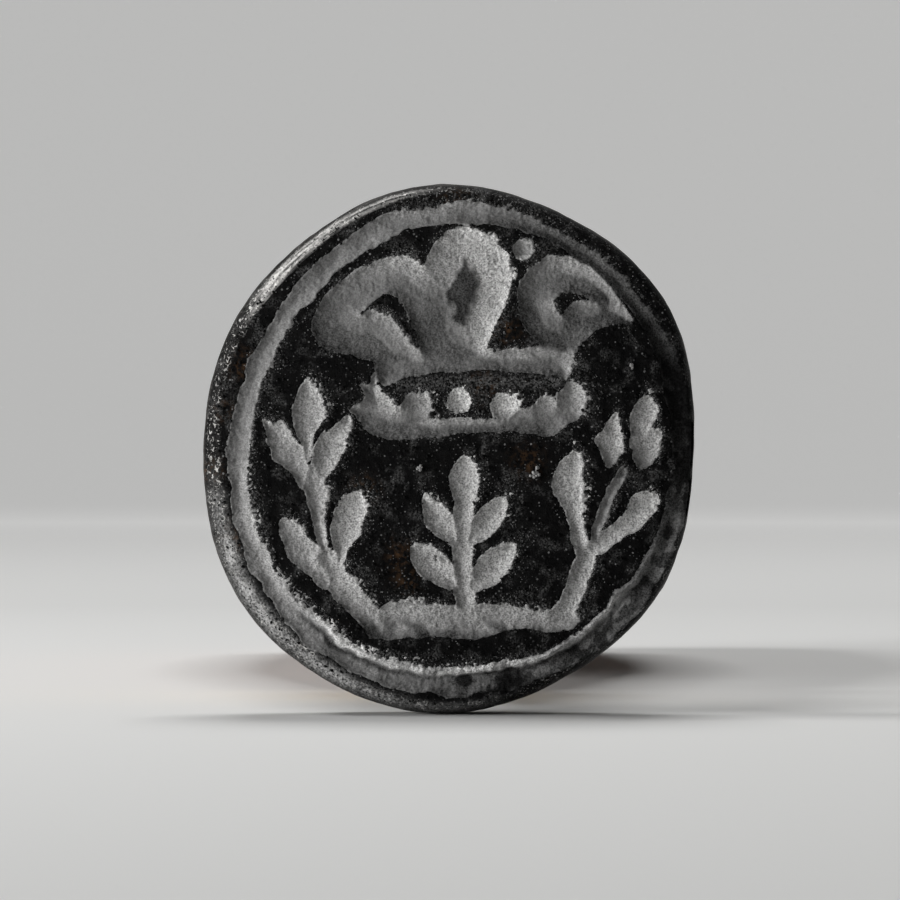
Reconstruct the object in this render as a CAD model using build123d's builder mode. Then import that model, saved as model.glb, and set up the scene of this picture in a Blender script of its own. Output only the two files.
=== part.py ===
from build123d import *
import math
import os

os.makedirs("parts", exist_ok=True)

# The stamp lies along Y: the engraved face looks along -Y and the wooden handle runs towards +Y.
# The origin is the middle of the engraved face. A station is a distance from that face along Y.

# Die: a hand-cut oval disc of iron on a turned neck, in millimetres
die_width = 22.4  # short axis of the oval
die_height = 24.0  # long axis of the oval
die_lean = 8.4  # degrees that the long axis leans from +Z towards +X
disc_thickness = 4.4
face_bevel = 0.5
back_bevel = 0.7
neck_length = 8.6  # from the back of the disc to the collar
neck_root_radius = 8.4
neck_root_length = 3.4
neck_radius = 4.8
flare_length = 1.2
collar_radius = 6.2
collar_length = 2.0
collar_chamfer = 0.3

# Engraving: a border groove around a crown, a pearled circlet, three leafy sprigs and a ground bar
engraving_depth = 0.9
ring_land = 1.4  # from the rim of the disc to the middle of the border groove
ring_groove_width = 0.8
ring_shift_x = 0.35  # the border groove was cut a little off the middle
ring_shift_z = 0.15
drawn_ring = 9.8  # half-width of the border groove that the device is drawn for
chalk_sink = 0.15  # the powder lies this far under the face

# Stud and its seats
stud_diameter = 6.0
stud_in_die = 10.0
stud_in_insert = 11.0
stud_chamfer = 0.5
thread_clearance = 0.05
bore_end_gap = 0.2
insert_diameter = 8.6
insert_length = 12.5

# Washer and ferrule
washer_thickness = 1.0
washer_clearance = 0.08
ferrule_plate = 1.2
ferrule_length = 10.0
ferrule_wall = 0.8
ferrule_clearance = 0.2  # around the stud

# Handle: a turned neck and a body planed to flats, all in half-widths from the axis
tenon_radius = 6.1
handle_length = 74.3  # from the bottom of the ferrule to the butt
shoulder_radius = 7.7
shoulder_bead_height = 0.8
shoulder_bead_width = 3.2
wood_neck_radius = 6.9
wood_neck_length = 4.3
body_front = 8.0  # half-width of the planed body where it starts
swell_length = 24.5  # from there to the widest part
belly_length = 16.0  # the widest part, which the stamp lies on
butt_half_width = 10.4
butt_bevel_half_width = 7.2
butt_bevel_length = 4.0
flat_count = 8

# Stations along the stamp
disc_back = disc_thickness
collar_front = disc_back + neck_length
collar_back = collar_front + collar_length
washer_back = collar_back + washer_thickness
wood_front = washer_back + ferrule_plate
ferrule_back = washer_back + ferrule_length
stud_front = collar_back - stud_in_die
stud_back = wood_front + stud_in_insert
butt_end = wood_front + handle_length
shoulder_bead_back = ferrule_back + shoulder_bead_width
body_station = shoulder_bead_back + wood_neck_length
belly_start = body_station + swell_length
belly_end = belly_start + belly_length
butt_bevel_start = butt_end - butt_bevel_length

# Half of the die's upright extent: the belly's flats stand this far out, so that the stamp lies level
lean = math.radians(die_lean)
rest_drop = math.hypot(die_height / 2 * math.cos(lean), die_width / 2 * math.sin(lean))

stud_radius = stud_diameter / 2
insert_radius = insert_diameter / 2
ferrule_radius = tenon_radius + ferrule_wall
ring_short = die_width / 2 - ring_land
ring_long = die_height / 2 - ring_land
device_scale = ring_short / drawn_ring


def lengthwise(degrees):
    """A plane through the stamp's axis: its x looks outwards at that angle and its y runs along the stamp."""
    angle = math.radians(degrees)
    outwards = (math.cos(angle), 0, math.sin(angle))
    return Plane((0, 0, 0), x_dir=outwards, z_dir=(-math.sin(angle), 0, math.cos(angle)))


def across(station):
    """A plane square to the stamp at a station, with its x along X and its y along Z."""
    return Plane.XZ.offset(-station)


# The device. Each motif adds a face to the sketch that is open, in the drawing's own millimetres


def drawn(points):
    """The drawing's points, fitted to the border groove."""
    return [(x * device_scale, z * device_scale) for x, z in points]


def leaf(base, tip, width, mode=Mode.ADD):
    """A pointed leaf: two arcs from its base to its tip."""
    (base_x, base_z), (tip_x, tip_z) = base, tip
    length = math.hypot(tip_x - base_x, tip_z - base_z)
    side_x = -(tip_z - base_z) / length * width / 2
    side_z = (tip_x - base_x) / length * width / 2
    middle_x = (base_x + tip_x) / 2
    middle_z = (base_z + tip_z) / 2
    bulges = [(middle_x + side_x, middle_z + side_z), (middle_x - side_x, middle_z - side_z)]
    with BuildLine() as outline:
        for bulge in bulges:
            ThreePointArc(*drawn([base, bulge, tip]))
    make_face(outline.line, mode=mode)


def stem(points, width):
    """A stem of one width along an arc through three points."""
    with BuildLine() as middle:
        ThreePointArc(*drawn(points))
    trace(middle.line, line_width=width * device_scale)


def pearl(centre, radius):
    """A round pearl."""
    with Locations(*drawn([centre])):
        Circle(radius * device_scale)


def scroll(points, mode=Mode.ADD):
    """An outline of arcs, each through three of the points in turn, closed by a straight line."""
    with BuildLine() as outline:
        for start in range(0, len(points) - 2, 2):
            ThreePointArc(*drawn(points[start : start + 3]))
        if points[-1] != points[0]:
            Line(*drawn([points[-1], points[0]]))
    make_face(outline.line, mode=mode)


with BuildSketch(Plane.XZ) as device:
    # Border groove
    with Locations((ring_shift_x, ring_shift_z)):
        half_groove = ring_groove_width / 2
        Ellipse(ring_short + half_groove, ring_long + half_groove, rotation=-die_lean)
        Ellipse(ring_short - half_groove, ring_long - half_groove, rotation=-die_lean, mode=Mode.SUBTRACT)
    # Crown: a middle petal between two drooping arms, on a band
    scroll([(-0.8, 4.4), (-1.3, 7.0), (-0.35, 9.2), (0.6, 9.85), (1.9, 9.3), (2.7, 7.2), (1.8, 4.4)])
    left_arm = [(-0.9, 8.0), (-2.9, 8.85), (-4.9, 7.7), (-6.0, 6.6), (-6.1, 5.4), (-5.2, 4.6), (-4.0, 4.25)]
    scroll(left_arm + [(-2.8, 4.1), (-1.6, 3.9)])
    right_arm = [(4.4, 4.2), (3.2, 6.1), (4.0, 7.9), (5.3, 8.4), (6.5, 7.4), (7.25, 6.7), (7.9, 5.75)]
    scroll(right_arm + [(7.0, 5.45), (6.2, 4.9), (5.95, 4.5), (5.6, 4.1)])
    with BuildLine():
        Polyline(*drawn([(5.6, 4.5), (5.2, 2.9), (1.2, 3.0), (-2.7, 2.85), (-3.6, 4.4), (5.6, 4.5)]))
    make_face()
    pearl((3.35, 9.0), 0.46)
    leaf((0.6, 5.5), (0.75, 8.7), 1.3, Mode.SUBTRACT)
    scroll([(-4.0, 6.4), (-2.15, 6.5), (-1.3, 4.6), (-2.35, 5.85), (-4.0, 6.4)], Mode.SUBTRACT)
    scroll([(4.75, 6.3), (5.6, 7.15), (6.7, 6.75), (5.6, 6.55), (4.75, 6.3)], Mode.SUBTRACT)
    # Circlet: a pearled band with turned-up ends
    stem([(-3.5, 1.65), (1.0, 1.0), (5.6, 1.75)], 0.95)
    leaf((-3.2, 0.6), (-3.75, 3.2), 1.4)
    leaf((5.35, 0.75), (6.0, 3.0), 1.2)
    for centre in [(-1.45, 2.1), (0.5, 2.0), (2.5, 2.0), (4.3, 1.9)]:
        pearl(centre, 0.6)
    # Left sprig
    stem([(-3.2, -7.7), (-5.7, -4.7), (-6.45, -0.7)], 0.75)
    leaf((-6.4, -0.9), (-6.5, 3.15), 1.45)
    leaf((-6.35, -1.5), (-8.4, 1.3), 1.15)
    leaf((-6.35, -1.3), (-4.55, 1.5), 1.25)
    leaf((-5.6, -4.9), (-3.95, -1.95), 1.25)
    leaf((-5.3, -5.8), (-7.6, -3.15), 1.25)
    # Right sprig
    stem([(4.8, -7.7), (5.6, -6.6), (6.25, -5.0)], 0.8)
    stem([(6.2, -5.3), (6.95, -2.9), (8.1, -0.5)], 0.45)
    leaf((6.2, -4.9), (5.5, -0.1), 1.5)
    leaf((6.1, -5.2), (9.1, -2.0), 1.4)
    leaf((7.45, -1.2), (7.45, 1.6), 1.2)
    leaf((8.05, -0.8), (9.15, 2.35), 1.2)
    # Middle sprig
    stem([(0.8, -7.7), (0.65, -5.0), (0.7, -2.0)], 0.85)
    for side in (-1, 1):
        leaf((0.7, -6.5), (0.7 + 2.3 * side, -4.4), 1.15)
        leaf((0.7, -4.4), (0.7 + 1.8 * side, -2.3), 1.0)
    leaf((0.7, -3.0), (0.7, -0.3), 1.2)
    # Ground bar
    stem([(-3.5, -7.9), (0.8, -7.8), (4.9, -7.75)], 1.25)

with BuildPart() as seal_die:
    with BuildSketch(Plane.XZ):
        Ellipse(die_width / 2, die_height / 2, rotation=-die_lean)
    extrude(amount=-disc_thickness)
    chamfer(seal_die.edges().filter_by(GeomType.ELLIPSE).sort_by(Axis.Y)[0], face_bevel)
    chamfer(seal_die.edges().filter_by(GeomType.ELLIPSE).sort_by(Axis.Y)[-1], back_bevel)
    with BuildSketch(across(0)):
        add(device.sketch_local)
    extrude(amount=-engraving_depth, mode=Mode.SUBTRACT)
    with BuildSketch(Plane.XY):
        with BuildLine():
            Polyline(
                (0, disc_back),
                (neck_root_radius, disc_back),
                (neck_radius, disc_back + neck_root_length),
                (neck_radius, collar_front - flare_length),
                (collar_radius, collar_front),
                (collar_radius, collar_back - collar_chamfer),
                (collar_radius - collar_chamfer, collar_back),
                (0, collar_back),
                close=True,
            )
        make_face()
    revolve(axis=Axis.Y)
    with BuildSketch(across(collar_back)):
        Circle(stud_radius + thread_clearance)
    extrude(amount=stud_in_die + bore_end_gap, mode=Mode.SUBTRACT)
seal_die.part.label = "seal_die"
export_step(seal_die.part, "parts/seal_die.step")

with BuildPart() as chalk_infill:
    with BuildSketch(across(chalk_sink)):
        add(device.sketch_local)
    extrude(amount=-(engraving_depth - chalk_sink))
chalk_infill.part.label = "chalk_infill"
export_step(chalk_infill.part, "parts/chalk_infill.step")

with BuildPart() as leather_washer:
    with BuildSketch(across(collar_back)):
        Circle(collar_radius)
        Circle(stud_radius + washer_clearance, mode=Mode.SUBTRACT)
    extrude(amount=-washer_thickness)
leather_washer.part.label = "leather_washer"
export_step(leather_washer.part, "parts/leather_washer.step")

with BuildPart() as stud:
    with BuildSketch(across(stud_front)):
        Circle(stud_radius)
    extrude(amount=stud_front - stud_back)
    chamfer(stud.edges().filter_by(GeomType.CIRCLE), stud_chamfer)
stud.part.label = "stud"
export_step(stud.part, "parts/stud.step")

with BuildPart() as insert:
    with BuildSketch(across(wood_front)):
        Circle(insert_radius)
        Circle(stud_radius, mode=Mode.SUBTRACT)
    extrude(amount=-insert_length)
insert.part.label = "insert"
export_step(insert.part, "parts/insert.step")

with BuildPart() as ferrule:
    with BuildSketch(Plane.XY):
        with BuildLine():
            Polyline(
                (tenon_radius, ferrule_back),
                (tenon_radius, wood_front),
                (stud_radius + ferrule_clearance, wood_front),
                (stud_radius + ferrule_clearance, washer_back),
                (collar_radius, washer_back),
                (ferrule_radius, wood_front),
                (ferrule_radius, ferrule_back),
                close=True,
            )
        make_face()
    revolve(axis=Axis.Y)
ferrule.part.label = "ferrule"
export_step(ferrule.part, "parts/ferrule.step")

with BuildPart() as handle:
    body_reach = 2 * rest_drop  # clear of the planed body on every side
    with BuildSketch(across(body_station)):
        Circle(body_reach)
    extrude(amount=body_station - butt_end)
    for flat in range(flat_count):
        with BuildSketch(lengthwise(360 / flat_count * flat)):
            with BuildLine():
                Polyline(
                    (body_front, body_station),
                    (rest_drop, belly_start),
                    (rest_drop, belly_end),
                    (butt_half_width, butt_bevel_start),
                    (butt_bevel_half_width, butt_end),
                    (2 * body_reach, butt_end),
                    (2 * body_reach, body_station),
                    close=True,
                )
            make_face()
        extrude(amount=2 * body_reach, both=True, mode=Mode.SUBTRACT)
    with BuildSketch(Plane.XY):
        with BuildLine():
            Polyline(
                (0, wood_front),
                (tenon_radius, wood_front),
                (tenon_radius, ferrule_back),
                (shoulder_radius, ferrule_back),
                (shoulder_radius + shoulder_bead_height, ferrule_back + shoulder_bead_height),
                (shoulder_radius + shoulder_bead_height, shoulder_bead_back - shoulder_bead_height),
                (shoulder_radius, shoulder_bead_back),
                (wood_neck_radius, shoulder_bead_back),
                (wood_neck_radius, body_station),
                (0, body_station),
                close=True,
            )
        make_face()
    revolve(axis=Axis.Y)
    with BuildSketch(across(wood_front)):
        Circle(insert_radius)
    extrude(amount=-insert_length, mode=Mode.SUBTRACT)
handle.part.label = "handle"
export_step(handle.part, "parts/handle.step")
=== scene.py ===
# Wax seal stamp lying on its side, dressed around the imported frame
import math
from functools import partial

import bpy
import numpy as np
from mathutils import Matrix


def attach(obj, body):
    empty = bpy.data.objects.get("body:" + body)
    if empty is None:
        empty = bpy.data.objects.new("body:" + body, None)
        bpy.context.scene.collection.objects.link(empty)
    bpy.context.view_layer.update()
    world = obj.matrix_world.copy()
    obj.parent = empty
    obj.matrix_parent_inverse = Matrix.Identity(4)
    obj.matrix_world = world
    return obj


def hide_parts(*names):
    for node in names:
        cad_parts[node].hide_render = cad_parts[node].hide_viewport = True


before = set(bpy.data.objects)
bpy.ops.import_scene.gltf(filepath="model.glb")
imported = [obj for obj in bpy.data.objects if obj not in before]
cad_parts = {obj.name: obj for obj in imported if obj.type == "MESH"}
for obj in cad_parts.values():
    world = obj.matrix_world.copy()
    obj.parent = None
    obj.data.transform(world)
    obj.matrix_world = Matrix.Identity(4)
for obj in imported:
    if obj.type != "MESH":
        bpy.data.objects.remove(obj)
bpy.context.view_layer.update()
scene = bpy.context.scene
mm = 0.001  # every shape below is worked out in millimetres
hair = 1e-12  # keeps a division or a last step safe
print("frame loaded:", sorted(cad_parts))


# Smooth share: slows a run from 0 to 1 at both of its ends
def soften(t):
    return t * t * (3 - 2 * t)


# Smooth step from 0 at one value to 1 at another
def ease(low, high, value):
    return soften(np.clip((value - low) / (high - low), 0, 1))


# Blend of the four lattice values around each point, by its share of the way along either side
def betweenFour(table, i, nextI, shareI, j, nextJ, shareJ):
    low = table[i, j] * (1 - shareI) + table[nextI, j] * shareI
    high = table[i, nextJ] * (1 - shareI) + table[nextI, nextJ] * shareI
    return low * (1 - shareJ) + high * shareJ


# Smooth value noise: random numbers on a square lattice, blended between the lattice points
def lumps(u, v, size, seed, cells=128):
    table = np.random.default_rng(seed).random((cells, cells)) - 0.5
    u, v = u / size, v / size
    i, j = np.floor(u).astype(int), np.floor(v).astype(int)
    shareI, shareJ = soften(u - i), soften(v - j)
    return betweenFour(table, i % cells, (i + 1) % cells, shareI, j % cells, (j + 1) % cells, shareJ)


# Three octaves of the same noise, each half as wide and half as strong as the one before
def roughness(u, v, size, seed):
    return sum(lumps(u, v, size / 2**k, seed + k) / 2**k for k in range(3))


# Mean over a square window of a raster, one axis after the other
def blurred(values, reach):
    for axis in (0, 1):
        values = sum(np.roll(values, step, axis) for step in range(-reach, reach + 1)) / (2 * reach + 1)
    return values


# Cosine of the turn away from a direction in degrees: 1 straight towards it, -1 away from it
def towards(angle, degrees):
    return np.cos(angle - math.radians(degrees))


# Sum of cosine waves around the face, each with its count, size and phase in degrees
def waves(angle, rows):
    return sum(size * towards(k * angle, phase) for k, size, phase in rows)


# Value by angle around the face: straight lines between the given degrees
def byTurn(angle, pairs):
    degrees, values = np.array(pairs).T
    return np.interp(np.degrees(angle), degrees, values)


# Evenly spaced angles all the way round
def evenTurns(steps):
    return np.arange(steps) / steps * 2 * math.pi


# Points around the stamp's axis: radius times cosine and sine, at a station along it
def aroundAxis(radius, station, angle):
    return np.stack([radius * np.cos(angle), station + 0 * angle, radius * np.sin(angle)], -1).reshape(-1, 3)


# Puts whole arrays of points and faces into a mesh object at the origin
def putMesh(name, points, faceArrays, attributes=None, sharpAngle=None):
    corners = np.concatenate([f.reshape(-1) for f in faceArrays]).astype(np.int32)
    sizes = np.concatenate([np.full(len(f), f.shape[1]) for f in faceArrays])
    starts = np.concatenate([[0], np.cumsum(sizes)[:-1]]).astype(np.int32)
    mesh = bpy.data.meshes.new(name)
    mesh.vertices.add(len(points))
    mesh.vertices.foreach_set("co", (np.asarray(points) * mm).astype(np.float32).reshape(-1))
    mesh.loops.add(len(corners))
    mesh.loops.foreach_set("vertex_index", corners)
    mesh.polygons.add(len(sizes))
    mesh.polygons.foreach_set("loop_start", starts)
    mesh.update(calc_edges=True)
    mesh.validate()
    mesh.shade_smooth()
    if sharpAngle is not None:
        mesh.set_sharp_from_angle(angle=math.radians(sharpAngle))
    for key, values in (attributes or {}).items():
        layer = mesh.attributes.new(key, "FLOAT", "POINT")
        layer.data.foreach_set("value", np.asarray(values, np.float32).reshape(-1))
    obj = bpy.data.objects.new(name, mesh)
    scene.collection.objects.link(obj)
    return obj


# One material all over a piece
def coat(obj, material):
    obj.data.materials.clear()
    obj.data.materials.append(material)


# A piece rides on its body, stands for its CAD nodes and takes one material
def dress(obj, body, slotName, material, *replaced):
    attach(obj, body)
    if replaced:
        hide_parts(*replaced)
    coat(obj, material)


# The four corners of each cell of a flat grid, in order around the cell
def gridQuads(grid):
    return np.stack([grid[:-1, :-1], grid[1:, :-1], grid[1:, 1:], grid[:-1, 1:]], -1)


# Quads between the rings of a grid of points, rings one after another, closed around
def ringQuads(rings, steps, closedPath=False):
    k = np.arange(rings if closedPath else rings - 1)[:, None]
    m = np.arange(steps)[None, :]
    here, there = k * steps, ((k + 1) % rings) * steps
    after = (m + 1) % steps
    return np.stack([here + m, there + m, there + after, here + after], -1).reshape(-1, 4)


# Triangles from a ring to one pole point
def poleFan(first, steps, pole, atStart):
    m = np.arange(steps)
    after = (m + 1) % steps
    tip = np.full(steps, pole)
    order = [tip, first + m, first + after] if atStart else [first + m, tip, first + after]
    return np.stack(order, -1)


# Points and faces of rings around the axis, closed at both ends by a pole point on it
def cappedRings(radius, station, angle, firstPole, lastPole):
    rows, steps = radius.shape
    count = rows * steps
    points = np.concatenate([aroundAxis(radius, station, angle), [[0, firstPole, 0], [0, lastPole, 0]]])
    caps = [poleFan(0, steps, count, True), poleFan(count - steps, steps, count + 1, False)]
    return points, [ringQuads(rows, steps), *caps]


# Node inputs: a socket is linked, a colour gets full alpha and a plain value is set
def feed(tree, node, inputs):
    for key, value in inputs.items():
        socket = node.inputs[key]
        if isinstance(value, bpy.types.NodeSocket):
            tree.links.new(value, socket)
        else:
            socket.default_value = (*value, 1) if socket.type == "RGBA" else value


# Any shader node by the end of its type's name, with its settings and inputs
def put(tree, kind, inputs=None, **settings):
    node = tree.nodes.new("ShaderNode" + kind)
    for key, value in settings.items():
        setattr(node, key, value)
    feed(tree, node, inputs or {})
    return node


def math2(tree, operation, a, b, clamp=False):
    return put(tree, "Math", {0: a, 1: b}, operation=operation, use_clamp=clamp).outputs[0]


def times(tree, a, b, clamp=False):
    return math2(tree, "MULTIPLY", a, b, clamp)


# Sockets 6, 7 and 2 are the mix node's two colours and its result
def mixColour(tree, factor, a, b, blend="MIX"):
    colours = {"Factor": factor, 6: a, 7: b}
    return put(tree, "Mix", colours, data_type="RGBA", blend_type=blend).outputs[2]


def mapTo(tree, value, fromLow, fromHigh, toLow, toHigh):
    sockets = {"Value": value, "From Min": fromLow, "From Max": fromHigh, "To Min": toLow, "To Max": toHigh}
    return put(tree, "MapRange", sockets).outputs["Result"]


def grey(tree, level):
    return put(tree, "CombineColor", {0: level, 1: level, 2: level}).outputs[0]


def readLayer(tree, name):
    return put(tree, "Attribute", attribute_name=name).outputs["Fac"]


def bumped(tree, shader, height, strength, distance):
    bump = put(tree, "Bump", {"Height": height, "Strength": strength, "Distance": distance})
    feed(tree, shader, {"Normal": bump.outputs[0]})


# A new material with its tree, its shader and its Object coordinates
def newMaterial(name):
    material = bpy.data.materials.new(name)
    material.use_nodes = True
    tree = material.node_tree
    return material, tree, tree.nodes["Principled BSDF"], put(tree, "TexCoord").outputs["Object"]


# A new node group that takes coordinates and named numbers, with its inputs and its output node
def newGroup(name, numbers, outputs):
    group = bpy.data.node_groups.new(name, "ShaderNodeTree")
    group.interface.new_socket("Coordinates", in_out="INPUT", socket_type="NodeSocketVector")
    for label, value in numbers.items():
        socket = group.interface.new_socket(label, in_out="INPUT", socket_type="NodeSocketFloat")
        socket.default_value = value
    for label in outputs:
        group.interface.new_socket(label, in_out="OUTPUT", socket_type="NodeSocketFloat")
    start, end = group.nodes.new("NodeGroupInput"), group.nodes.new("NodeGroupOutput")
    return group, start.outputs, end


def useGroup(tree, group, inputs):
    return put(tree, "Group", inputs, node_tree=group).outputs


# Mottling: layered noise stretched between a low and a high value
mottle, given, result = newGroup("mottle", {"Scale": 1000, "Low": 0, "High": 1}, ["Value"])
cloud = put(mottle, "TexNoise", {"Vector": given["Coordinates"], "Scale": given["Scale"], "Detail": 4})
feed(mottle, result, {"Value": mapTo(mottle, cloud.outputs[0], 0.32, 0.68, given["Low"], given["High"])})


def mottled(tree, place, scale, low=0, high=1):
    return useGroup(tree, mottle, {"Coordinates": place, "Scale": scale, "Low": low, "High": high})["Value"]


# Grit: scattered grains, one in each lattice cell whose random number is under the amount
grit, given, result = newGroup("grit", {"Scale": 9000, "Amount": 0.1, "Size": 0.3}, ["Mask", "Shade"])
cells = put(grit, "TexVoronoi", {"Vector": given["Coordinates"], "Scale": given["Scale"]})
chance = put(grit, "SeparateColor", {"Color": cells.outputs["Color"]})
chosen = math2(grit, "LESS_THAN", chance.outputs[0], given["Amount"])
reach = times(grit, given["Size"], mapTo(grit, chance.outputs[1], 0, 1, 0.45, 1))
within = math2(grit, "SUBTRACT", reach, cells.outputs["Distance"])
soft = mapTo(grit, within, -0.04, 0.08, 0, 1)
feed(grit, result, {"Mask": times(grit, soft, chosen, True), "Shade": chance.outputs[2]})

# Turning marks: fine lines around the stamp's axis, as a lathe leaves
turnedLines, given, result = newGroup("turnedLines", {"Scale": 1}, ["Value"])
squeezed = put(turnedLines, "Mapping", {"Vector": given["Coordinates"], "Scale": (60, 9000, 60)})
lines = put(turnedLines, "TexNoise", {"Vector": squeezed.outputs[0], "Scale": given["Scale"], "Detail": 3})
feed(turnedLines, result, {"Value": lines.outputs[0]})
print("node groups ready")


# Engraved device in millimetres, x to the right and z up; a tone says how light a motif's powder shows:
# mostly how full it is, and on the crown's right arm also painted shade
crown = [
    (0.88, [(-0.95, 7.6), (-1.08, 8.3), (-0.69, 9.35), (0, 10), (0.71, 10.25), (1.6, 9.95), (2.4, 9.25),
        (2.76, 8.5), (2.87, 7.6), (2.47, 6.3), (1.8, 4.9), (1.7, 4.2), (0.9, 4.2), (0.25, 5.1),
        (-0.1, 6.1), (-0.6, 7)]),
    (0.3, [(0.5, 7.6), (-0.6, 8.15), (-1.94, 8.84), (-3.2, 8.65), (-4.6, 7.9), (-5.6, 7.1), (-6.2, 6),
        (-6.1, 5.2), (-5.6, 4.65), (-4.6, 4.35), (-3.4, 3.95), (-2.9, 3.5), (1.5, 3.9), (1.25, 5.6)]),
    # right arm: its low tone is partly painted shade where the light falls off
    (0.215, [(5.3, 3.6), (4.9, 4.3), (4.2, 4.75), (3.5, 5.66), (3.2, 6.68), (3.4, 7.82), (4.3, 8.65),
        (5.5, 8.8), (6.7, 8.15), (7.5, 7.25), (8.35, 5.83), (7.5, 5.75), (6.57, 5.31), (5.8, 4.5)]),
    (0.43, [(-3.4, 4.5), (-1.5, 4.6), (1.2, 4.6), (3.4, 4.65), (5.6, 4.7), (5.4, 3.15), (4.8, 3.45),
        (3.2, 3.6), (1.2, 3.62), (-0.8, 3.55), (-2.2, 3.25), (-3, 2.92)]),
]
petalIsland = [(0.77, 8.62), (1.33, 7.7), (1.05, 6.6), (0.59, 5.66), (0.15, 6.4), (-0.03, 7.14), (0.3, 8)]
cutOuts = [
    [(-3.94, 6.17), (-3.4, 6.8), (-2.74, 7.09), (-2.1, 6.7), (-1.72, 6), (-1.4, 5.2), (-1.26, 4.52),
        (-1.94, 5.09), (-2.3, 5.6), (-2.74, 6.11), (-3.42, 6.28)],
    [(5.09, 6.11), (4.75, 6.68), (5, 7.05), (5.55, 7.25), (6.2, 7.1), (6.8, 6.8), (5.77, 6.79),
        (5.32, 6.45)],
    [(2.45, 4.75), (3.95, 4.7), (3.3, 5.7), (2.95, 6.6), (2.8, 5.6)],
]
circlet = [
    (0.37, [(-3.29, 3.4), (-3.11, 2.72), (-2.65, 2.26), (-2.38, 1.9), (-2.1, 2.05), (-1.98, 2.42),
        (-1.6, 2.64), (-1.1, 2.56), (-0.7, 2.12), (-0.95, 1.68), (-0.55, 1.36), (0.54, 1.38),
        (1.45, 1.42), (2.3, 1.4), (3.04, 1.72), (3.73, 1.99), (4.18, 2.26), (4.64, 2.31), (4.95, 2.05),
        (4.93, 2.45), (5.18, 2.81), (5.64, 3.08), (6, 2.86), (6.23, 2.35), (6.14, 1.81), (5.91, 1.35),
        (5.46, 1.17), (5.09, 0.86), (4.5, 0.64), (3.95, 0.66), (3.27, 0.82), (2.2, 0.86), (0.99, 0.8),
        (-0.37, 0.62), (-1.51, 0.55), (-2.42, 0.46), (-3.33, 0.62), (-3.93, 0.99), (-4.2, 1.44),
        (-4.47, 1.81), (-4.02, 2.17), (-3.74, 2.45), (-3.93, 2.75), (-3.98, 3.02), (-3.62, 3),
        (-3.47, 3.36)]),
]
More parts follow.
